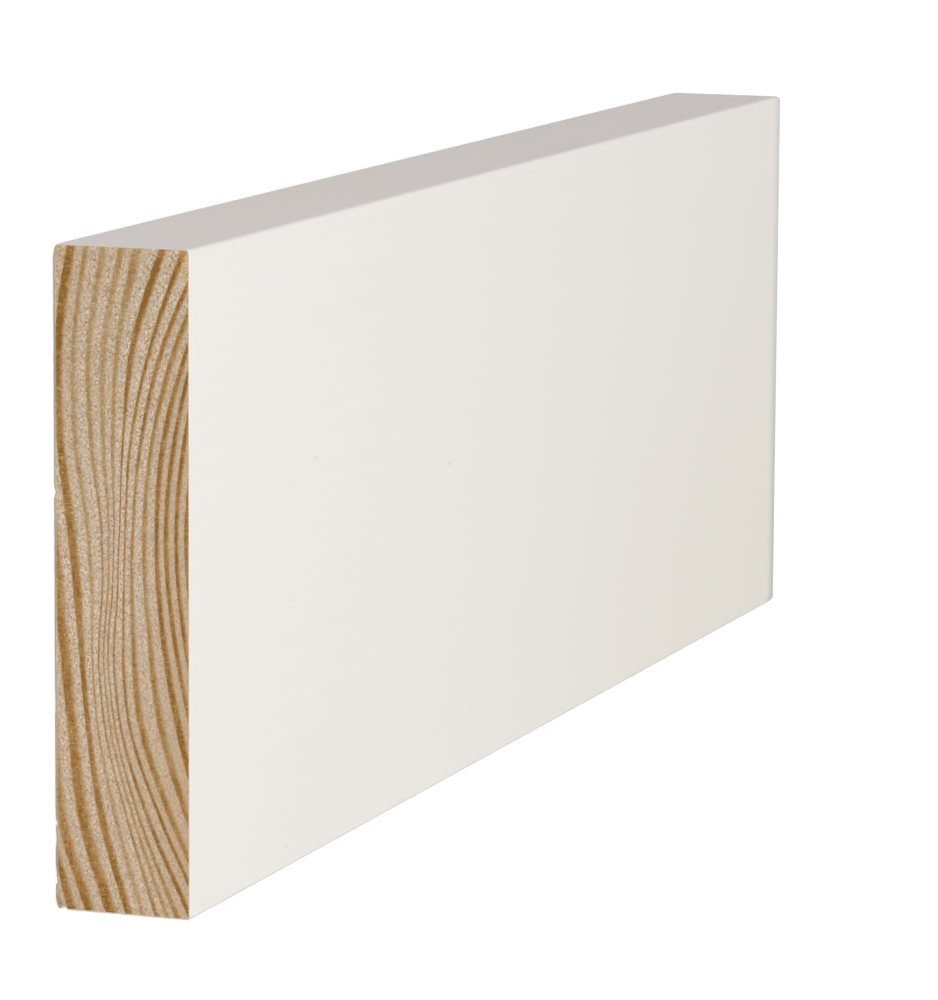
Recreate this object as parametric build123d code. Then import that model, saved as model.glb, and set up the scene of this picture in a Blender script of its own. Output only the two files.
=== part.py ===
from build123d import *
import os

# Painted softwood trim strip: one planed length of stock with eased long edges and square sawn ends.
# The strip lies on its back. X runs along the length, Y across the width and Z from the back to the
# front face. The origin is under the middle of the strip, on the back face.

# Driving dimensions, in millimetres
strip_length = 210.0
strip_width = 69.0
strip_thickness = 15.0
# Easing of the two long edges of the front face, which stay crisp under the paint
front_edge_radius = 0.4
# Easing of the two long edges of the back face, which are rounder
back_edge_radius = 0.6


def eased_section():
    """Cross-section of the strip, standing in the YZ plane with its back on Z = 0."""
    with BuildSketch(Plane.YZ) as section:
        Rectangle(strip_width, strip_thickness, align=(Align.CENTER, Align.MIN))
        fillet(section.vertices().group_by(Axis.Y)[0], back_edge_radius)
        fillet(section.vertices().group_by(Axis.Y)[-1], front_edge_radius)
    return section.sketch


def trim_strip():
    """The section run along the length, with both ends sawn square."""
    strip = extrude(eased_section(), amount=strip_length / 2, both=True)
    strip.label = "trim_strip"
    return strip


os.makedirs("parts", exist_ok=True)
export_step(trim_strip(), "parts/trim_strip.step")
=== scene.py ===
import math

import bpy
import numpy as np
from mathutils import Matrix, Vector


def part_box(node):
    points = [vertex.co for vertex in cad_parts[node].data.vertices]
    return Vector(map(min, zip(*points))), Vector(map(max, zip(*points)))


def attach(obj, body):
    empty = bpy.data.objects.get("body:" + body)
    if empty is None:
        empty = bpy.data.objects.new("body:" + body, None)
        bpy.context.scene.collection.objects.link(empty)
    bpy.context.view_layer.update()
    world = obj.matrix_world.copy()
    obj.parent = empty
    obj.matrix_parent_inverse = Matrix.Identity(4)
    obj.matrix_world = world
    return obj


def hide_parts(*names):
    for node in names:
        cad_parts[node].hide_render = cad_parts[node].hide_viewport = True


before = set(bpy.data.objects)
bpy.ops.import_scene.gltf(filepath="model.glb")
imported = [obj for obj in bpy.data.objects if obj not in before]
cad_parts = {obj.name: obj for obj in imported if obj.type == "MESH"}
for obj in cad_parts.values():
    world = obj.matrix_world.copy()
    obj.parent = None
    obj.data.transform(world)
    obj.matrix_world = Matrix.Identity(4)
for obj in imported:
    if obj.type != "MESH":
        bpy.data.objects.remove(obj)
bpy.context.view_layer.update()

# A painted pine trim strip, lying on its back. X runs along the length, Y across the width and Z out of
# the front face. Sizes are in millimetres in the frame of the CAD part, and the mesh is scaled to metres.
MM = 0.001
NODE = "trim_strip"
low_corner, high_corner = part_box(NODE)
LENGTH = (high_corner.x - low_corner.x) / MM
WIDTH = (high_corner.y - low_corner.y) / MM
THICKNESS = (high_corner.z - low_corner.z) / MM
HALF_LENGTH = LENGTH / 2
HALF_WIDTH = WIDTH / 2
FRONT_EDGE_RADIUS = 0.4
# The back edges are worn flatter than a round: how far they stand back and how far in they reach
BACK_EDGE_DEPTH = 0.55
BACK_EDGE_REACH = 1.5

# Mesh density of the sawn ends and of the long faces
CORNER_ROWS = 12
MIDDLE_ROWS = 190
COLUMNS = 120
END_STATIONS = (0.0, 0.05, 0.12, 0.25, 0.45, 0.8, 1.4, 2.4, 4.0, 7.0, 12.0, 20.0, 32.0)
MIDDLE_STATIONS = 12
# Faces that meet at more than this many degrees keep a crisp edge
SHARP_ANGLE = 35

# Places of the faces in the map that the looks are baked through: most of it goes to the sawn ends
BAKE_MAP = "OFBake"
BAKE_MARGIN = 0.005
NEAR_END_SPAN = (0.005, 0.215)
FAR_END_SPAN = (0.225, 0.435)
LONG_FACES_SPAN = (0.45, 0.995)

# Growth rings on the sawn ends. Each row is one ring, from the back of the strip to the front, and
# holds the depth of its dark bark-side edge, measured from the back face, at eight even heights from the
# upper edge of the strip to its lower edge. Depths outside the section lie where the ring would be.
RING_EDGES = (
    (-4.0, -5.0, -5.0, -3.8, -2.6, -2.4, -1.3, 1.3),
    (-2.6, -3.7, -3.7, -2.3, -1.2, -0.6, 0.05, 3.3),
    (-1.3, -2.4, -2.3, -0.75, 0.25, 1.3, 2.5, 5.55),
    (1.5, 0.05, 0.25, 1.45, 2.5, 3.4, 4.85, 7.8),
    (3.35, 2.0, 2.05, 3.5, 4.05, 4.6, 6.55, 9.45),
    (5.15, 3.6, 3.85, 5.15, 4.95, 5.4, 7.95, 11.05),
    (7.15, 5.2, 5.2, 5.95, 5.5, 6.0, 8.65, 12.2),
    (8.65, 6.8, 6.3, 6.55, 6.0, 6.55, 9.35, 13.3),
    (11.6, 8.5, 7.55, 7.15, 6.6, 7.15, 10.3, 14.9),
    (14.0, 10.6, 8.35, 7.75, 7.5, 8.15, 11.75, 16.6),
    (16.2, 11.85, 9.45, 8.5, 8.45, 9.25, 12.85, 18.0),
    (17.6, 13.2, 10.65, 9.7, 10.2, 11.45, 14.7, 19.5),
    (18.9, 14.6, 11.8, 11.1, 11.7, 13.4, 16.4, 21.0),
    (20.2, 15.6, 13.05, 12.1, 12.95, 15.0, 17.9, 22.4),
    (21.5, 16.6, 14.15, 13.25, 14.1, 16.2, 19.2, 23.8),
    (23.0, 17.7, 15.4, 14.35, 15.3, 17.5, 20.6, 25.2),
)
# How each ring looks at the upper edge, in the middle and at the lower edge: how dark its latewood is,
# how much of the ring that takes up, and how rough its torn earlywood is
RING_LOOKS = (
    ((1.0, 1.0, 0.95), (0.52, 0.52, 0.58), (0.7, 0.6, 0.5)),
    ((0.85, 0.1, 0.95), (0.45, 0.45, 0.45), (0.9, 0.9, 0.75)),
    ((0.95, 0.97, 0.9), (0.52, 0.5, 0.54), (0.75, 0.95, 0.75)),
    ((1.06, 0.95, 0.95), (0.64, 0.58, 0.58), (0.6, 0.95, 0.8)),
    ((0.45, 0.48, 0.44), (0.36, 0.36, 0.4), (0.95, 0.95, 0.8)),
    ((0.46, 0.74, 0.69), (0.42, 0.38, 0.44), (0.95, 0.85, 0.75)),
    ((0.38, 0.54, 0.5), (0.58, 0.5, 0.58), (0.95, 0.85, 0.6)),
    ((0.55, 0.68, 0.75), (0.42, 0.36, 0.42), (0.95, 0.95, 0.55)),
    ((1.26, 0.76, 1.0), (0.38, 0.32, 0.38), (1.0, 1.0, 0.35)),
    ((1.2, 0.75, 0.96), (0.34, 0.35, 0.41), (1.0, 0.95, 0.15)),
    ((1.05, 0.8, 0.76), (0.47, 0.32, 0.43), (0.9, 0.95, 0.25)),
    ((0.82, 0.7, 0.87), (0.46, 0.34, 0.45), (0.75, 0.75, 0.1)),
    ((0.88, 0.94, 0.9), (0.54, 0.49, 0.56), (0.55, 0.5, 0.15)),
    ((1.28, 0.82, 0.92), (0.52, 0.47, 0.5), (0.5, 0.5, 0.35)),
    ((0.9, 0.93, 0.92), (0.46, 0.42, 0.46), (0.55, 0.55, 0.4)),
    ((0.9, 0.9, 0.9), (0.46, 0.46, 0.46), (0.6, 0.6, 0.45)),
)
# Latewood is darker near the upper edge, and the darkest fades right at it: how much and how far down
UPPER_DARKENING = 0.1
UPPER_DARKENING_REACH = 5.5
UPPER_FADING = 0.3
UPPER_FADING_REACH = 2.4
# Width of the rings beyond the first and the last
OUTER_RING_WIDTH = 1.3
# Places within a ring, from its dark edge inward, where the readings of its latewood and earlywood hold
LATEWOOD_PLACE = 0.2
EARLYWOOD_PLACE = 0.75
# The thin rings sway a little about the middle of the width: the first and last of them, and the sway's
# shift, middle height, reach and wave length
SWAYING_RINGS = (5, 8)
SWAY_SHIFT = 0.2
SWAY_MIDDLE = 39.0
SWAY_REACH = 12.0
SWAY_LENGTH = 16.0

# Paint film as it shows round a sawn end, on each side of the section
FILM_BACK = 0.16
FILM_FRONT = 0.12
FILM_UPPER = 0.05
FILM_LOWER = 0.12

# Amber stain along the front of a sawn end, which is widest and strongest at its upper corner
AMBER_REACH = 0.2
AMBER_CORNER_REACH = 1.0
AMBER_HEIGHT = 8.0
AMBER_WEAKEST = 0.3
# How far the stain bleaches the latewood under it
AMBER_FADING = 0.6

# Damage of the sawn edges. Each chip of a back edge is (height, half length, depth), and all of it fades
# along the strip and in from the edge
BACK_CHIPS = (
    (25.5, 0.7, 0.17),
    (47.3, 1.6, 0.05),
    (59.9, 0.5, 0.2),
    (61.6, 1.4, 0.1),
    (65.3, 1.1, 0.1),
    (66.05, 0.5, 0.2),
)
FAR_BACK_CHIPS = ((12.0, 1.1, 0.15), (39.0, 0.8, 0.12))
LOWER_NOTCH_FROM_BACK = 0.9
LOWER_NOTCH_HALF_WIDTH = 0.48
LOWER_NOTCH_DEPTH = 0.36
CHIP_LENGTH = 1.1
CHIP_REACH = 1.5
EDGE_BREAK = 0.06
# The far end's edges droop a little where they were sanded, the front one least
DUB_LENGTH = 2.0
DUB_DEPTH = 0.5
FRONT_DUB_DEPTH = 0.1
# Torn steps along the sawn edges, which are shallower at the front
RAGGED_DEPTH = 0.035
RAGGED_STEP = 0.45
FRONT_RAGGED_SHARE = 0.5
BACK_SEED = 1
FRONT_SEED = 2
UPPER_SEED = 3
LOWER_SEED = 4
# Relief of the sawn ends. The proud latewood ends past its share of the ring and fades over part of it
LATEWOOD_RELIEF = 0.018
LATEWOOD_END = 1.2
LATEWOOD_FADE = 0.6
SAWN_RELIEF = 0.012
NEAR_END_SEED = 11
FAR_END_SEED = 12
# Nick in the front's upper edge, with the mesh rings that carry it
NICK_STATIONS = 11
NICK_SPREAD = 2.5
NICK_ALONG = -41.2
NICK_HALF_LENGTH = 0.4
NICK_REACH = 0.45
NICK_DEPTH = 0.3

# Photograph's camera, for a picture 1000 pixels high, with lengths in millimetres and angles in degrees
PICTURE_HEIGHT = 1000
FOCAL_PIXELS = 5687
SENSOR = 36.0
CAMERA_AIM = (-20.26, -2.95, 15.0)
CAMERA_DISTANCE = 655.8
CAMERA_RISE = 19.22
CAMERA_TURN = 9.19
CAMERA_ROLL = 0.37
CAMERA_CLIP = 10.0

# Studio lights and floor, with places and sizes in metres
AMBIENT = 0.38
KEY_PLACE = (-0.27, 0.10, 0.80)
KEY_SIZE = 0.5
KEY_POWER = 3.9
FILL_PLACE = (-0.90, 0.0, 0.42)
FILL_SIZE = 0.8
FILL_POWER = 1.9
FLOOR_SIZE = 8.0
FLOOR_DROP = 0.0001
FLOOR_ALBEDO = 0.7
FLOOR_WHITENING = 0.72
FLOOR_GLOW = 1.22


def linear(red, green, blue):
    """An sRGB colour of 0 to 255 as the linear values that the shaders take."""
    values = np.array((red, green, blue)) / 255
    curved = np.where(values <= 0.04045, values / 12.92, ((values + 0.055) / 1.055) ** 2.4)
    return (*curved.tolist(), 1.0)


# Section and rings


def edge_inset(y, depth, reach):
    """How far a long edge, eased as part of an ellipse, stands back from its flat face at width y."""
    past = np.clip((np.abs(y) - HALF_WIDTH) / reach + 1, 0, 1)
    return depth * (1 - np.sqrt(1 - past ** 2))


def back_inset(y):
    return edge_inset(y, BACK_EDGE_DEPTH, BACK_EDGE_REACH)


def front_inset(y):
    return edge_inset(y, FRONT_EDGE_RADIUS, FRONT_EDGE_RADIUS)


def section_rows():
    """Widths of the mesh rows of a sawn end, closer together round the eased edges."""
    flat_half = HALF_WIDTH - BACK_EDGE_REACH
    turn = np.linspace(0, math.pi / 2, CORNER_ROWS + 1)[1:]
    corner = flat_half + BACK_EDGE_REACH * np.sin(turn)
    middle = np.linspace(-flat_half, flat_half, MIDDLE_ROWS + 1)
    return np.concatenate((-corner[::-1], middle, corner))


def section_grid():
    """Y and Z of the mesh points of a sawn end, which fill the eased section in rows and columns."""
    rows = section_rows()
    across = np.linspace(0, 1, COLUMNS + 1)
    back = back_inset(rows)
    front = THICKNESS - front_inset(rows)
    z = back[:, None] + across * (front - back)[:, None]
    y = np.repeat(rows[:, None], COLUMNS + 1, axis=1)
    return y, z


def through_points(values, share):
    """A smooth Catmull-Rom curve through evenly spaced values, read at shares of its length."""
    place = np.clip(share, 0, 1 - 1e-9) * (len(values) - 1)
    index = place.astype(int)
    t = place - index
    ends = (2 * values[0] - values[1], *values, 2 * values[-1] - values[-2])
    p0, p1, p2, p3 = (np.take(ends, index + k) for k in range(4))
    return 0.5 * (2 * p1 + (p2 - p0) * t + (2 * p0 - 5 * p1 + 4 * p2 - p3) * t ** 2
                  + (3 * (p1 - p2) + p3 - p0) * t ** 3)


def bump(distance, half_width):
    """A smooth hump, 1 at its middle and 0 past its half width."""
    return np.clip(1 - (distance / half_width) ** 2, 0, 1) ** 2


def ring_counts(y, z):
    """Ring count at each point of a sawn end: whole numbers lie on the bark-side edges."""
    heights = HALF_WIDTH - y[:, 0]
    edges = np.array([through_points(ring, heights / WIDTH) for ring in RING_EDGES])
    from_middle = heights - SWAY_MIDDLE
    sway = -SWAY_SHIFT * np.sin(2 * math.pi * from_middle / SWAY_LENGTH) * bump(from_middle, SWAY_REACH)
    first, last = SWAYING_RINGS
    edges[first:last + 1] += sway
    edges[[first - 1, last + 1]] += sway / 2
    edges = np.concatenate((edges[:1] - OUTER_RING_WIDTH, edges, edges[-1:] + OUTER_RING_WIDTH))
    numbers = np.arange(-1, len(RING_EDGES) + 1)
    return np.array([np.interp(z[row], edges[:, row], numbers) for row in range(len(y))])


def spread(readings, y, count, place):
    """Each ring's readings at three heights, spread over a sawn end. They hold at a place in the ring."""
    heights = (HALF_WIDTH - y[:, 0]) / WIDTH
    by_ring = np.array([np.interp(heights, (0, 0.5, 1), reading) for reading in readings])
    places = np.arange(len(readings)) + place
    return np.array([np.interp(count[row], places, by_ring[:, row]) for row in range(len(y))])


def film_distances(y, z):
    """Distances in from a sawn end's outline, in film thicknesses: from the back, from the other sides."""
    back = (z - back_inset(y)) / FILM_BACK
    front = (THICKNESS - front_inset(y) - z) / FILM_FRONT
    upper = (HALF_WIDTH - y) / FILM_UPPER
    lower = (HALF_WIDTH + y) / FILM_LOWER
    return back, np.minimum.reduce((front, upper, lower))


def amber_stain(y, z):
    """How strongly the wood of a sawn end is stained, from 0 to 1."""
    from_front = THICKNESS - front_inset(y) - z
    upward = np.clip(1 - (HALF_WIDTH - y) / AMBER_HEIGHT, AMBER_WEAKEST, 1)
    reach = AMBER_REACH + AMBER_CORNER_REACH * upward
    return upward * np.exp(-(from_front / reach) ** 2)


# Wear of the mesh


def ragged(seed, at, span):
    """Small torn steps along a sawn edge."""
    dice = np.random.default_rng(seed)
    knots = np.arange(-RAGGED_STEP, span + 2 * RAGGED_STEP, RAGGED_STEP)
    return np.interp(at, knots, RAGGED_DEPTH * dice.random(len(knots)) ** 2)


def worn(points):
    """The mesh points with broken, sanded and chipped edges, and the nick in the front's upper edge."""
    x, y, z = points.T
    from_end = HALF_LENGTH - np.abs(x)
    fade = np.clip(1 - from_end / CHIP_LENGTH, 0, 1)
    broken = EDGE_BREAK * np.clip(1 - from_end / EDGE_BREAK, 0, 1)
    past = np.clip(1 - from_end / DUB_LENGTH, 0, 1) * (x > 0)
    droop = 1 - np.sqrt(1 - past ** 2)
    dubbed = DUB_DEPTH * droop
    height = HALF_WIDTH - y
    from_back = z - back_inset(y)
    from_front = THICKNESS - front_inset(y) - z
    back_depth = broken + dubbed + ragged(BACK_SEED, height, WIDTH) * fade
    for chips, side in ((BACK_CHIPS, x < 0), (FAR_BACK_CHIPS, x > 0)):
        for place, half_length, depth in chips:
            back_depth += side * fade * depth * bump(height - place, half_length)
    front_ragged = FRONT_RAGGED_SHARE * ragged(FRONT_SEED, height, WIDTH)
    front_depth = broken + FRONT_DUB_DEPTH * droop + front_ragged * fade
    upper_depth = broken + dubbed + ragged(UPPER_SEED, z, THICKNESS) * fade
    notch = LOWER_NOTCH_DEPTH * bump(z - LOWER_NOTCH_FROM_BACK, LOWER_NOTCH_HALF_WIDTH)
    lower_depth = broken + dubbed + ragged(LOWER_SEED, z, THICKNESS) * fade + notch * fade * (x < 0)

    def near(distance):
        return np.clip(1 - distance / CHIP_REACH, 0, 1) ** 2

    nick = np.exp(-((x - NICK_ALONG) / NICK_HALF_LENGTH) ** 2)
    nick *= np.exp(-((HALF_WIDTH - y) ** 2 + (THICKNESS - z) ** 2) / NICK_REACH ** 2)
    z = z + back_depth * near(from_back) - front_depth * near(from_front) - NICK_DEPTH * nick
    y = y + lower_depth * near(HALF_WIDTH + y) - upper_depth * near(HALF_WIDTH - y) - NICK_DEPTH * nick
    return np.stack((x, y, z), axis=1)


def sawn_relief(count, share, seed):
    """Height of a sawn end's surface: latewood stands a little proud of torn earlywood."""
    within = count - np.floor(count)
    latewood = np.clip((LATEWOOD_END * share - within) / (LATEWOOD_FADE * share), 0, 1)
    torn = np.random.default_rng(seed).random(count.shape)
    return LATEWOOD_RELIEF * latewood + SAWN_RELIEF * torn * (1 - latewood)


# Mesh of the strip


def length_stations():
    """Places along the strip of its rings of mesh points, close together at the ends and the nick."""
    near = -HALF_LENGTH + np.array(END_STATIONS)
    middle = np.linspace(near[-1], -near[-1], MIDDLE_STATIONS + 1)[1:-1]
    nick = NICK_ALONG + NICK_HALF_LENGTH * np.linspace(-NICK_SPREAD, NICK_SPREAD, NICK_STATIONS)
    return np.unique(np.concatenate((near, middle, -near, nick)))


def outline_indices(rows, columns):
    """Row and column of each point round the edge of a grid, one way round."""
    last_row, last_column = rows - 1, columns - 1
    lower = [(0, c) for c in range(last_column)]
    front = [(r, last_column) for r in range(last_row)]
    upper = [(last_row, c) for c in range(last_column, 0, -1)]
    back = [(r, 0) for r in range(last_row, 0, -1)]
    return np.array(lower + front + upper + back).T


def within_span(span, share):
    return span[0] + (span[1] - span[0]) * share


def end_places(points, faces, span):
    """Baking places of the corners of a sawn end's faces."""
    y, z = points[faces, 1], points[faces, 2]
    up = within_span((BAKE_MARGIN, 1 - BAKE_MARGIN), y / WIDTH + 0.5)
    return np.stack((within_span(span, z / THICKNESS), up), axis=-1)


def long_places(points, faces, round_y, round_z):
    """Baking places of the corners of the long faces, unrolled round the section."""
    steps = np.hypot(np.diff(round_y, append=round_y[0]), np.diff(round_z, append=round_z[0]))
    girth = np.concatenate(((0.0,), np.cumsum(steps))) / steps.sum()
    corners = np.stack((girth[:-1], girth[:-1], girth[1:], girth[1:]), axis=1)
    around = np.tile(corners, (len(faces) // len(corners), 1))
    up = within_span((BAKE_MARGIN, 1 - BAKE_MARGIN), points[faces, 0] / LENGTH + 0.5)
    return np.stack((within_span(LONG_FACES_SPAN, around), up), axis=-1)


def latewood_tone(tones, y, count, amber):
    """How dark the latewood is over a sawn end, with what the upper edge and the stain change."""
    height = HALF_WIDTH - y
    read = spread(tones, y, count, LATEWOOD_PLACE)
    darkened = read + UPPER_DARKENING * bump(height, UPPER_DARKENING_REACH)
    faded = darkened * (1 - UPPER_FADING * darkened * bump(height, UPPER_FADING_REACH))
    return faded * (1 - AMBER_FADING * amber)


def strip_mesh():
    """One closed mesh: two grids for the sawn ends and a sleeve of long quads between them."""
    y, z = section_grid()
    rows, columns = y.shape
    edge_row, edge_column = outline_indices(rows, columns)
    round_y, round_z = y[edge_row, edge_column], z[edge_row, edge_column]
    stations = length_stations()
    count = ring_counts(y, z)
    tones, shares, grains = zip(*RING_LOOKS)
    share = spread(shares, y, count, LATEWOOD_PLACE)
    grain = spread(grains, y, count, EARLYWOOD_PLACE)
    back_film, film = film_distances(y, z)
    amber = amber_stain(y, z)
    tone = latewood_tone(tones, y, count, amber)

    grid = np.stack((y.ravel(), z.ravel()), axis=1)
    near_end = np.column_stack((np.full(grid.shape[0], -HALF_LENGTH), grid))
    far_end = np.column_stack((np.full(grid.shape[0], HALF_LENGTH), grid))
    sleeve = [np.column_stack((np.full(round_y.size, x), round_y, round_z)) for x in stations[1:-1]]
    points = worn(np.concatenate((near_end, far_end, *sleeve)))
    size = grid.shape[0]
    points[:size, 0] -= sawn_relief(count, share, NEAR_END_SEED).ravel()
    points[size:2 * size, 0] += sawn_relief(count, share, FAR_END_SEED).ravel()

    index = np.arange(size).reshape(rows, columns)
    corners = (index[:-1, :-1], index[:-1, 1:], index[1:, 1:], index[1:, :-1])
    cells = np.stack(corners, axis=-1).reshape(-1, 4)
    first_loop = index[edge_row, edge_column]
    loops = [first_loop]
    loops += [2 * size + k * round_y.size + np.arange(round_y.size) for k in range(len(stations) - 2)]
    loops += [first_loop + size]
    bands = []
    for here, there in zip(loops[:-1], loops[1:]):
        bands.append(np.stack((here, there, np.roll(there, -1), np.roll(here, -1)), axis=1))
    long_faces = np.concatenate(bands)
    near_faces = cells[:, ::-1]
    far_faces = cells + size
    faces = np.concatenate((near_faces, far_faces, long_faces))

    mesh = bpy.data.meshes.new("painted_strip")
    mesh.from_pydata((points * MM).tolist(), [], faces.tolist())
    end_faces = len(near_faces) + len(far_faces)
    on_end = np.arange(len(faces)) < end_faces
    mesh.polygons.foreach_set("material_index", on_end.astype(np.int32))
    mesh.polygons.foreach_set("use_smooth", np.ones(len(faces), bool))
    mesh.set_sharp_from_angle(angle=math.radians(SHARP_ANGLE))
    places = np.concatenate((
        end_places(points, near_faces, NEAR_END_SPAN),
        end_places(points, far_faces, FAR_END_SPAN),
        long_places(points, long_faces, round_y, round_z),
    ))
    mesh.uv_layers.new(name=BAKE_MAP).data.foreach_set("uv", places.ravel())
    spare = np.zeros(len(points) - 2 * size)
    readings = {
        "ring_count": count,
        "ring_tone": tone,
        "ring_share": share,
        "ring_grain": grain,
        "back_film": back_film,
        "film": film,
        "amber": amber,
    }
    for name, values in readings.items():
        attribute = mesh.attributes.new(name, "FLOAT", "POINT")
        attribute.data.foreach_set("value", np.concatenate((values.ravel(), values.ravel(), spare)))
    mesh.update()
    return mesh


# Materials


class Shader:
    """A material's node tree, with short calls for the kinds of node that are used here."""

    def __init__(self, name):
        self.material = bpy.data.materials.new(name)
        self.material.use_nodes = True
        self.tree = self.material.node_tree
        self.surface = self.tree.nodes["Principled BSDF"]
        place = self.node("TexCoord", {}).outputs["Object"]
        self.place = self.node("VectorMath", {0: place, "Scale": 1 / MM}, operation="SCALE").outputs[0]

    def node(self, kind, inputs, **settings):
        made = self.tree.nodes.new("ShaderNode" + kind)
        for key, value in settings.items():
            setattr(made, key, value)
        for key, value in inputs.items():
            self.feed(made.inputs[key], value)
        return made

    def feed(self, socket, value):
        if isinstance(value, bpy.types.NodeSocket):
            self.tree.links.new(value, socket)
        else:
            socket.default_value = value

    def math(self, operation, *values):
        return self.node("Math", dict(enumerate(values)), operation=operation).outputs[0]

    def ramp(self, value, start, end, first=0.0, last=1.0):
        inputs = {"Value": value, "From Min": start, "From Max": end, "To Min": first, "To Max": last}
        return self.node("MapRange", inputs, interpolation_type="SMOOTHSTEP").outputs[0]

    def mix(self, factor, first, second):
        made = self.node("Mix", {}, data_type="RGBA")
        sockets = (made.inputs[0], made.inputs[6], made.inputs[7])
        for socket, value in zip(sockets, (factor, first, second)):
            self.feed(socket, value)
        return made.outputs[2]

    def tinted(self, colour, value, first, last):
        """A colour multiplied by a tint, which runs from one tint to another by a value of 0 to 1."""
        tint = self.mix(value, first, last)
        return self.node("VectorMath", {0: colour, 1: tint}, operation="MULTIPLY").outputs[0]

    def colours(self, value, stops):
        """A colour read from evenly spaced colours by a value of 0 to 1."""
        made = self.node("ValToRGB", {0: value})
        elements = made.color_ramp.elements
        elements[0].color = stops[0]
        elements[1].color = stops[-1]
        for place, colour in enumerate(stops[1:-1], 1):
            elements.new(place / (len(stops) - 1)).color = colour
        return made.outputs[0]

    def stretched(self, along, across, through):
        """The place in the strip, with each direction scaled by itself."""
        inputs = {0: self.place, 1: (along, across, through)}
        return self.node("VectorMath", inputs, operation="MULTIPLY").outputs[0]

    def noise(self, vector, scale, detail=2.0, roughness=0.5):
        inputs = {"Vector": vector, "Scale": scale, "Detail": detail, "Roughness": roughness}
        return self.node("TexNoise", inputs).outputs[0]

    def cells(self, along, across, through):
        """Small cells, so many to a millimetre: the distance to a cell's middle and its own number."""
        made = self.node("TexVoronoi", {"Vector": self.stretched(along, across, through), "Scale": 1.0})
        own = self.node("SeparateColor", {0: made.outputs["Color"]})
        return made.outputs["Distance"], own.outputs[0]

    def specks(self, per_mm, radius, chance):
        """Scattered round specks: cells to a millimetre, size of a speck, share of the cells with one."""
        distance, own = self.cells(per_mm, per_mm, per_mm)
        spot = self.ramp(distance, 0.6 * radius, 1.2 * radius, 1.0, 0.0)
        return self.math("MULTIPLY", spot, self.math("LESS_THAN", own, chance))

    def attribute(self, name):
        return self.node("Attribute", {}, attribute_name=name).outputs["Fac"]

    def bump(self, height, depth):
        made = self.node("Bump", {"Strength": 1.0, "Distance": depth * MM, "Height": height})
        self.feed(self.surface.inputs["Normal"], made.outputs["Normal"])


# Small marks in the front face's paint: place along, place across, half length, half width and strength
MARKS = (
    (-69.5, 8.5, 0.8, 0.34, 0.22),
    (-26.8, 2.2, 0.8, 0.3, 0.34),
    (-77.8, -32.2, 0.5, 0.4, 0.25),
    (-101.6, -33.5, 0.6, 0.25, 0.25),
    (104.5, -34.3, 4.0, 1.2, 0.5),
)
PAINT = linear(238, 234, 230)
PAINT_SHADE = linear(237, 233, 228)
# Painted shade: the narrow edge faces and the rounded front edges are a little darker and warmer, as they
# look in shade
SHADED_EDGE_PAINT = linear(236, 228, 223)
MARK = linear(205, 195, 174)
# Painted shade along the lower front edge and the far edge, where the rounded edges turn away from the
# light
ARRIS_SHADE = linear(178, 168, 152)
ARRIS_SHADE_STRENGTH = 0.6
ARRIS_SHADE_MARGIN = 0.05
FAR_EDGE_SHADE = linear(178, 178, 172)
FAR_EDGE_SHADE_REACH = 3.6
FAR_EDGE_SHADE_UPPER = 0.45
FAR_EDGE_SHADE_LOWER = 0.8
# Painted shade: the paint is a little darker and yellower far along, most of all low down
FAR_SHADE_PAINT = linear(234, 230, 220)
FAR_SHADE_FROM = -60.0
FAR_SHADE_UPPER = 0.35
# Scales to a millimetre of faint clouds and lengthwise lines in the paint: along, across and through
PAINT_CLOUDS = (0.02, 0.05, 0.05)
PAINT_LINES = (0.012, 1.1, 1.1)
# Fine peel of the paint film, to a millimetre, with the roughness and the relief that it gives
PEEL_SCALE = 1.4
PAINT_ROUGHNESS = (0.5, 0.58)
PAINT_RELIEF = 0.003


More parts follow.
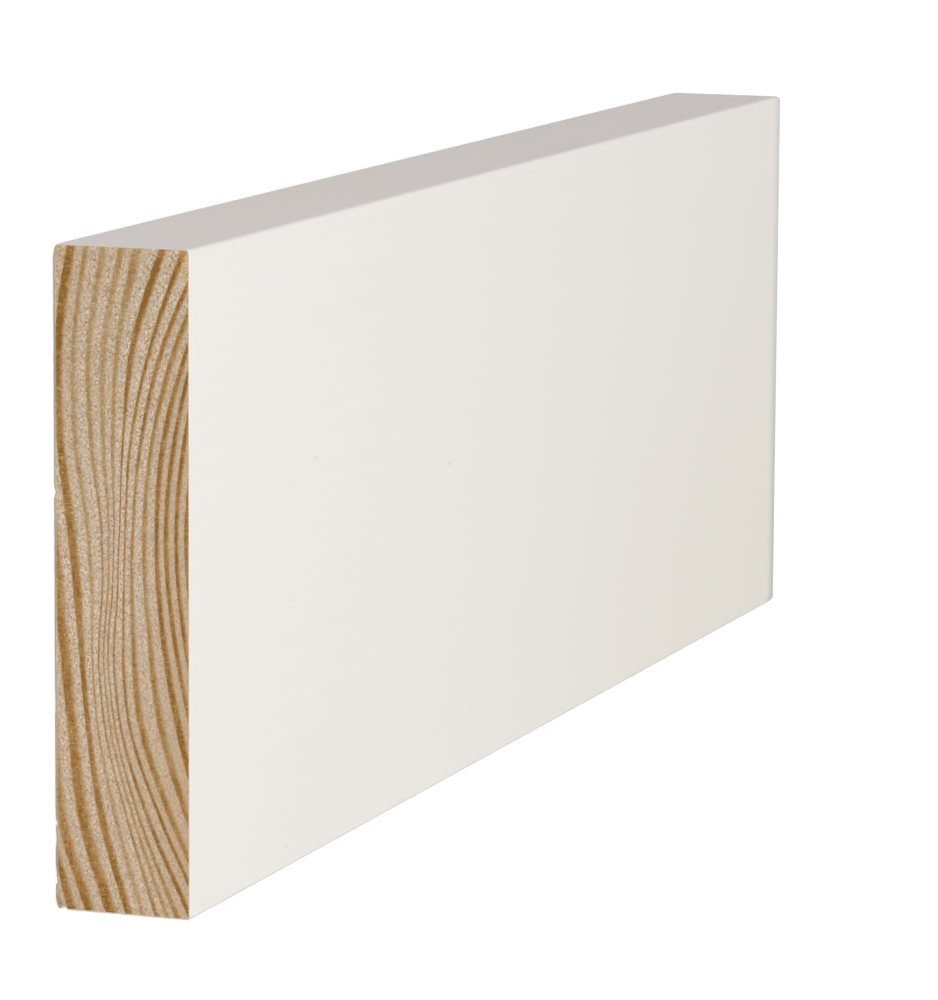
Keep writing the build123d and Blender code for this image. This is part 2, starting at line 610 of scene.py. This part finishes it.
def paint_material():
    """Satin white paint: faint clouds, lengthwise lines, fine peel, a few marks, and painted shade on the
    edges and far along.
    """
    shader = Shader("satin_white_paint")
    clouds = shader.noise(shader.stretched(*PAINT_CLOUDS), 1.0, detail=3.0)
    lines = shader.noise(shader.stretched(*PAINT_LINES), 1.0, detail=3.0, roughness=0.6)
    half_lines = shader.math("MULTIPLY", lines, 0.5)
    mottle = shader.math("ADD", shader.math("MULTIPLY", clouds, 0.5), half_lines)
    colour = shader.mix(shader.ramp(mottle, 0.35, 0.65), PAINT, PAINT_SHADE)
    place = shader.node("SeparateXYZ", {0: shader.place}).outputs
    # Painted shade far along the strip, deepest low down
    downward = shader.ramp(place["Y"], HALF_WIDTH, -HALF_WIDTH, FAR_SHADE_UPPER, 1.0)
    far_shade = shader.math("MULTIPLY", shader.ramp(place["X"], FAR_SHADE_FROM, HALF_LENGTH), downward)
    colour = shader.mix(far_shade, colour, FAR_SHADE_PAINT)
    # Painted shade on the narrow edge faces and the rounded front edges
    from_middle = shader.math("ABSOLUTE", place["Y"])
    turn = HALF_WIDTH - FRONT_EDGE_RADIUS
    colour = shader.mix(shader.ramp(from_middle, turn, HALF_WIDTH), colour, SHADED_EDGE_PAINT)
    # Painted shade on the lower front edge, where it turns away from the light
    lower = shader.ramp(place["Y"], -turn - ARRIS_SHADE_MARGIN, -HALF_WIDTH + ARRIS_SHADE_MARGIN)
    front = shader.ramp(place["Z"], THICKNESS - FRONT_EDGE_RADIUS, THICKNESS - 0.3 * FRONT_EDGE_RADIUS)
    arris_shade = shader.math("MULTIPLY", lower, front)
    colour = shader.mix(shader.math("MULTIPLY", arris_shade, ARRIS_SHADE_STRENGTH), colour, ARRIS_SHADE)
    # Painted shade along the far end's edges, strongest low down
    far_edge_shade = shader.ramp(place["X"], HALF_LENGTH - FAR_EDGE_SHADE_REACH, HALF_LENGTH)
    far_shade_strength = shader.ramp(place["Y"], HALF_WIDTH, -HALF_WIDTH, FAR_EDGE_SHADE_UPPER, FAR_EDGE_SHADE_LOWER)
    colour = shader.mix(shader.math("MULTIPLY", far_edge_shade, far_shade_strength), colour, FAR_EDGE_SHADE)
    for along, across, half_length, half_width, strength in MARKS:
        centre = (along, across, THICKNESS)
        sizes = (1 / half_length, 1 / half_width, 1 / half_width)
        offset = shader.node("VectorMath", {0: shader.place, 1: centre}, operation="SUBTRACT").outputs[0]
        sized = shader.node("VectorMath", {0: offset, 1: sizes}, operation="MULTIPLY").outputs[0]
        reach = shader.node("VectorMath", {0: sized}, operation="LENGTH").outputs["Value"]
        colour = shader.mix(shader.ramp(reach, 0.5, 1.1, strength, 0.0), colour, MARK)
    shader.feed(shader.surface.inputs["Base Color"], colour)
    peel = shader.noise(shader.place, PEEL_SCALE, detail=1.0)
    shader.feed(shader.surface.inputs["Roughness"], shader.ramp(peel, 0.2, 0.8, *PAINT_ROUGHNESS))
    height = shader.math("ADD", shader.math("MULTIPLY", peel, 0.4), shader.math("MULTIPLY", lines, 0.6))
    shader.bump(height, PAINT_RELIEF)
    return shader.material


# Sawn wood from the darkest latewood to the palest torn fibre, in even steps of tone
WOOD_COLOURS = (
    linear(149, 102, 37),
    linear(176, 130, 71),
    linear(188, 153, 103),
    linear(203, 176, 144),
    linear(219, 198, 173),
    linear(236, 221, 204),
)
# Place in those colours of smooth earlywood, which darkens a little towards the upper edge, and what is
# added to it by torn fibre and taken from it by latewood
SMOOTH_LIGHTNESS = 0.575
UPPER_DARKER_REACH = 30.0
UPPER_DARKER_DEPTH = 0.06
TORN_LIGHTNESS = 0.19
LATEWOOD_DEPTH = 0.64
LATEWOOD_GRAIN = 0.5
# How far the rings waver, in rings, and how often to a millimetre
WAVER = 0.12
WAVER_OFFSET = -0.02
WAVER_SCALE = 1.2
# A ring's dark edge is crisper the darker it is, and its other side fades between shares of the latewood
DARK_EDGE = 0.28
DARK_EDGE_CRISPING = -0.16
SOFT_START = 0.65
SOFT_END = 1.4
# Scales of the grain to a millimetre: along the strip, across its width and through its thickness
PATCHES = (0.2, 0.14, 0.5)
STREAKS = (0.5, 1.0, 4.0)
RAYS = (1.0, 6.0, 0.5)
FIBRES = (5.4, 4.4, 6.0)
GRIT = (5.0, 3.8, 5.8)
STROKES = (1.0, 6.0, 0.8)
ORANGE_PATCHES = (0.5, 0.6, 1.8)
YELLOW_PATCHES = (0.4, 0.9, 2.3)
# How much the grain varies, and how far that moves the wood along its colours and changes its brightness
FIBRE_CONTRAST = 0.18
GRIT_CONTRAST = 0.1
STROKE_CONTRAST = 0.1
GRAIN_LIGHTNESS = 0.5
GRAIN_BRIGHTNESS = 0.62
# Specks: cells to a millimetre, size in cells and share of the cells with one. Then their strengths
LIGHT_SPECKS = (3.8, 0.34, 0.2)
LIGHT_STRENGTH = 0.2
GOLDEN_SPECKS = (2.4, 0.26, 0.2)
GOLDEN_STRENGTH = 0.4
DARK_SPECKS = (3.2, 0.32, 0.27)
DARK_STRENGTH = 0.4
RESIN_CANALS = (0.5, 0.12, 0.4)
CANAL_STRENGTH = 0.6
EARLYWOOD_ROUGHNESS = 0.8
LATEWOOD_ROUGHNESS = 0.6
SAWN_SPECULAR = 0.25
GRIT_RELIEF = 0.04
# Tints that the wood's colour is multiplied by
GREY_TINT = (0.96, 1.02, 1.07, 1.0)
ORANGE_TINT = (1.04, 0.98, 0.93, 1.0)
BLUE_TINT = (1.0, 0.99, 1.09, 1.0)
YELLOW_TINT = (1.0, 1.01, 0.92, 1.0)
AMBER_TINT = (1.1, 0.92, 0.62, 1.0)
NO_TINT = (1.0, 1.0, 1.0, 1.0)
# How sharply the tints change over the wood, and where they start. Orange grows towards the lower edge
TINT_CONTRAST = 2.2
ORANGE_START = -0.75
ORANGE_LOWER = 0.3
YELLOW_START = -0.6
CANAL = linear(128, 88, 40)
FILM = linear(232, 218, 196)
# The paint film at the back edge is greyed with dirt and with painted shade, as it lies in shade
DIRTY_SHADED_BACK_FILM = linear(176, 166, 146)
# How ragged the inner edge of the films is, in film thicknesses
FILM_RAGGEDNESS = 0.9
# Films over the wood, from the lowest up: the distance that each is read from, its colour, its strength
# and how many film thicknesses it reaches in
FILMS = (
    ("back_film", FILM, 0.4, 2.0),
    ("back_film", DIRTY_SHADED_BACK_FILM, 0.8, 1.0),
    ("film", FILM, 1.0, 1.0),
)


def end_grain_material():
    """Bare sawn pine: growth rings, torn fibre, rays, resin canals and the paint film round the edge."""
    shader = Shader("sawn_pine_end_grain")
    waver = shader.noise(shader.place, WAVER_SCALE, detail=3.0, roughness=0.5)
    shift = shader.math("MULTIPLY_ADD", waver, WAVER, WAVER_OFFSET)
    count = shader.math("ADD", shader.attribute("ring_count"), shift)
    within = shader.math("FRACT", count)
    share = shader.attribute("ring_share")
    tone = shader.attribute("ring_tone")
    bark_side = shader.ramp(within, 0.0, shader.math("MULTIPLY_ADD", tone, DARK_EDGE_CRISPING, DARK_EDGE))
    soft_start = shader.math("MULTIPLY", share, SOFT_START)
    soft_end = shader.math("MULTIPLY", share, SOFT_END)
    pith_side = shader.ramp(within, soft_start, soft_end, 1.0, 0.0)
    patches = shader.ramp(shader.noise(shader.stretched(*PATCHES), 1.0), 0.25, 0.75, 0.8, 1.2)
    streaks = shader.ramp(shader.noise(shader.stretched(*STREAKS), 1.0), 0.3, 0.7, 0.85, 1.15)
    rays = shader.ramp(shader.noise(shader.stretched(*RAYS), 1.0), 0.5, 0.75, 1.02, 0.85)
    latewood = tone
    for factor in (bark_side, pith_side, patches, streaks, rays):
        latewood = shader.math("MULTIPLY", latewood, factor)

    torn = shader.attribute("ring_grain")
    cell_own = shader.cells(*FIBRES)[1]
    grit = shader.noise(shader.stretched(*GRIT), 1.0, detail=1.0)
    strokes = shader.noise(shader.stretched(*STROKES), 1.0, detail=1.0)
    cell_tone = shader.ramp(cell_own, 0.0, 1.0, -FIBRE_CONTRAST, FIBRE_CONTRAST)
    grit_tone = shader.ramp(grit, 0.3, 0.7, -GRIT_CONTRAST, GRIT_CONTRAST)
    grain = shader.math("ADD", cell_tone, grit_tone)
    light_speck = shader.math("MULTIPLY", shader.specks(*LIGHT_SPECKS), LIGHT_STRENGTH)
    golden_speck = shader.math("MULTIPLY", shader.specks(*GOLDEN_SPECKS), GOLDEN_STRENGTH)
    dark_speck = shader.math("MULTIPLY", shader.specks(*DARK_SPECKS), DARK_STRENGTH)
    grain = shader.math("ADD", grain, shader.math("SUBTRACT", light_speck, dark_speck))
    in_latewood = shader.ramp(latewood, 0.2, 0.8)
    rough = shader.math("MULTIPLY", torn, shader.ramp(within, 0.5, 0.95, 0.75, 1.2))
    strength = shader.node("Mix", {0: in_latewood, 2: rough, 3: LATEWOOD_GRAIN}).outputs[0]
    grain = shader.math("MULTIPLY", grain, strength)
    stroke_tone = shader.ramp(strokes, 0.3, 0.7, -STROKE_CONTRAST, STROKE_CONTRAST)
    stroke = shader.math("ADD", golden_speck, stroke_tone)
    grain = shader.math("MULTIPLY_ADD", in_latewood, stroke, grain)
    across = shader.node("SeparateXYZ", {0: shader.place}).outputs["Y"]
    upper_lightness = SMOOTH_LIGHTNESS - UPPER_DARKER_DEPTH
    smooth = shader.ramp(across, HALF_WIDTH - UPPER_DARKER_REACH, HALF_WIDTH, SMOOTH_LIGHTNESS, upper_lightness)
    pale = shader.math("MULTIPLY_ADD", torn, TORN_LIGHTNESS, smooth)
    lightness = shader.math("MULTIPLY_ADD", latewood, -LATEWOOD_DEPTH, pale)
    lightness = shader.math("MULTIPLY_ADD", grain, GRAIN_LIGHTNESS, lightness)
    colour = shader.colours(lightness, WOOD_COLOURS)
    brightness = shader.math("MULTIPLY_ADD", grain, GRAIN_BRIGHTNESS, 1.0)
    colour = shader.node("VectorMath", {0: colour, "Scale": brightness}, operation="SCALE").outputs[0]
    orange = shader.noise(shader.stretched(*ORANGE_PATCHES), 1.0)
    lowness = shader.ramp(across, HALF_WIDTH, -HALF_WIDTH)
    start = shader.math("MULTIPLY_ADD", lowness, ORANGE_LOWER, ORANGE_START)
    orange = shader.math("MULTIPLY_ADD", orange, TINT_CONTRAST, start)
    colour = shader.tinted(colour, orange, GREY_TINT, ORANGE_TINT)
    yellow = shader.noise(shader.stretched(*YELLOW_PATCHES), 1.0)
    yellow = shader.math("MULTIPLY_ADD", yellow, TINT_CONTRAST, YELLOW_START)
    colour = shader.tinted(colour, yellow, BLUE_TINT, YELLOW_TINT)
    colour = shader.tinted(colour, shader.attribute("amber"), NO_TINT, AMBER_TINT)
    canals = shader.math("MULTIPLY", shader.specks(*RESIN_CANALS), CANAL_STRENGTH)
    colour = shader.mix(canals, colour, CANAL)

    film_edge = shader.math("MULTIPLY_ADD", grit, FILM_RAGGEDNESS, -FILM_RAGGEDNESS / 2)
    for name, film_colour, strength, reach in FILMS:
        inward = shader.math("ADD", shader.attribute(name), film_edge)
        cover = shader.ramp(inward, 0.7 * reach, 1.2 * reach, strength, 0.0)
        colour = shader.mix(cover, colour, film_colour)
    shader.feed(shader.surface.inputs["Base Color"], colour)
    roughness = shader.ramp(latewood, 0.0, 1.0, EARLYWOOD_ROUGHNESS, LATEWOOD_ROUGHNESS)
    shader.feed(shader.surface.inputs["Roughness"], roughness)
    shader.surface.inputs["Specular IOR Level"].default_value = SAWN_SPECULAR
    shader.bump(shader.math("ADD", grit, shader.math("MULTIPLY", latewood, 0.5)), GRIT_RELIEF)
    return shader.material


# Studio


def floor_material():
    """Pale floor that reads white to the camera where it is lit, and still takes the shadow."""
    shader = Shader("studio_floor")
    tree = shader.tree
    shader.surface.inputs["Base Color"].default_value = (FLOOR_ALBEDO,) * 3 + (1.0,)
    shader.surface.inputs["Roughness"].default_value = 1.0
    shader.surface.inputs["Specular IOR Level"].default_value = 0.0
    glow = shader.node("Emission", {"Color": (1.0, 1.0, 1.0, 1.0), "Strength": FLOOR_GLOW})
    path = shader.node("LightPath", {})
    seen = shader.math("MAXIMUM", path.outputs["Is Camera Ray"], path.outputs["Is Glossy Ray"])
    seen = shader.math("MAXIMUM", seen, path.outputs["Is Transmission Ray"])
    share = shader.math("MULTIPLY", seen, FLOOR_WHITENING)
    both = shader.node("MixShader", {0: share, 1: shader.surface.outputs[0], 2: glow.outputs[0]})
    tree.links.new(both.outputs[0], tree.nodes["Material Output"].inputs["Surface"])
    return shader.material


def make_floor():
    half = FLOOR_SIZE / 2
    outline = ((-half, -half), (half, -half), (half, half), (-half, half))
    corners = [(x, y, -FLOOR_DROP) for x, y in outline]
    mesh = bpy.data.meshes.new("studio_floor")
    mesh.from_pydata(corners, [], [(0, 1, 2, 3)])
    mesh.materials.append(floor_material())
    floor = bpy.data.objects.new("studio_floor", mesh)
    bpy.context.scene.collection.objects.link(floor)


def make_world():
    """Even white surroundings, shown as plain white behind the object."""
    world = bpy.data.worlds.new("studio")
    world.use_nodes = True
    bpy.context.scene.world = world
    tree = world.node_tree
    background = tree.nodes["Background"]
    background.inputs["Color"].default_value = (1.0, 1.0, 1.0, 1.0)
    path = tree.nodes.new("ShaderNodeLightPath")
    seen = path.outputs["Is Camera Ray"]
    for other in ("Is Glossy Ray", "Is Transmission Ray"):
        either = tree.nodes.new("ShaderNodeMath")
        either.operation = "MAXIMUM"
        tree.links.new(seen, either.inputs[0])
        tree.links.new(path.outputs[other], either.inputs[1])
        seen = either.outputs[0]
    strength = tree.nodes.new("ShaderNodeMapRange")
    strength.inputs["To Min"].default_value = AMBIENT
    strength.inputs["To Max"].default_value = 1.0
    tree.links.new(seen, strength.inputs["Value"])
    tree.links.new(strength.outputs[0], background.inputs["Strength"])


def make_softbox(name, place, size, power):
    """A square soft light that faces the middle of the strip."""
    light = bpy.data.lights.new(name, "AREA")
    light.shape = "SQUARE"
    light.size = size
    light.energy = power
    softbox = bpy.data.objects.new(name, light)
    softbox.location = place
    softbox.rotation_euler = (-Vector(place)).to_track_quat("-Z", "Y").to_euler()
    bpy.context.scene.collection.objects.link(softbox)


def make_camera():
    """The photograph's camera: it looks down along the strip, rolled so that the upper edge is up."""
    rise, turn = math.radians(CAMERA_RISE), math.radians(CAMERA_TURN)
    ahead = Vector((math.cos(rise) * math.cos(turn), -math.cos(rise) * math.sin(turn), -math.sin(rise)))
    right = ahead.cross(Vector((0, 1, 0))).normalized()
    up = right.cross(ahead)
    axes = Matrix((right, up, -ahead)).transposed()
    camera_data = bpy.data.cameras.new("camera")
    camera_data.sensor_width = SENSOR
    camera_data.lens = FOCAL_PIXELS * SENSOR / PICTURE_HEIGHT
    camera_data.clip_start = CAMERA_CLIP * MM
    camera = bpy.data.objects.new("camera", camera_data)
    place = (Vector(CAMERA_AIM) - CAMERA_DISTANCE * ahead) * MM
    roll = Matrix.Rotation(math.radians(CAMERA_ROLL), 4, "Z")
    camera.matrix_world = Matrix.Translation(place) @ axes.to_4x4() @ roll
    bpy.context.scene.collection.objects.link(camera)
    bpy.context.scene.camera = camera


def make_strip():
    mesh = strip_mesh()
    mesh.materials.append(paint_material())
    mesh.materials.append(end_grain_material())
    strip = bpy.data.objects.new("painted_strip", mesh)
    bpy.context.scene.collection.objects.link(strip)
    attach(strip, "root")
    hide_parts(NODE)


make_strip()
make_floor()
make_world()
make_softbox("key", KEY_PLACE, KEY_SIZE, KEY_POWER)
make_softbox("fill", FILL_PLACE, FILL_SIZE, FILL_POWER)
make_camera()
bpy.context.scene.view_settings.view_transform = "Standard"
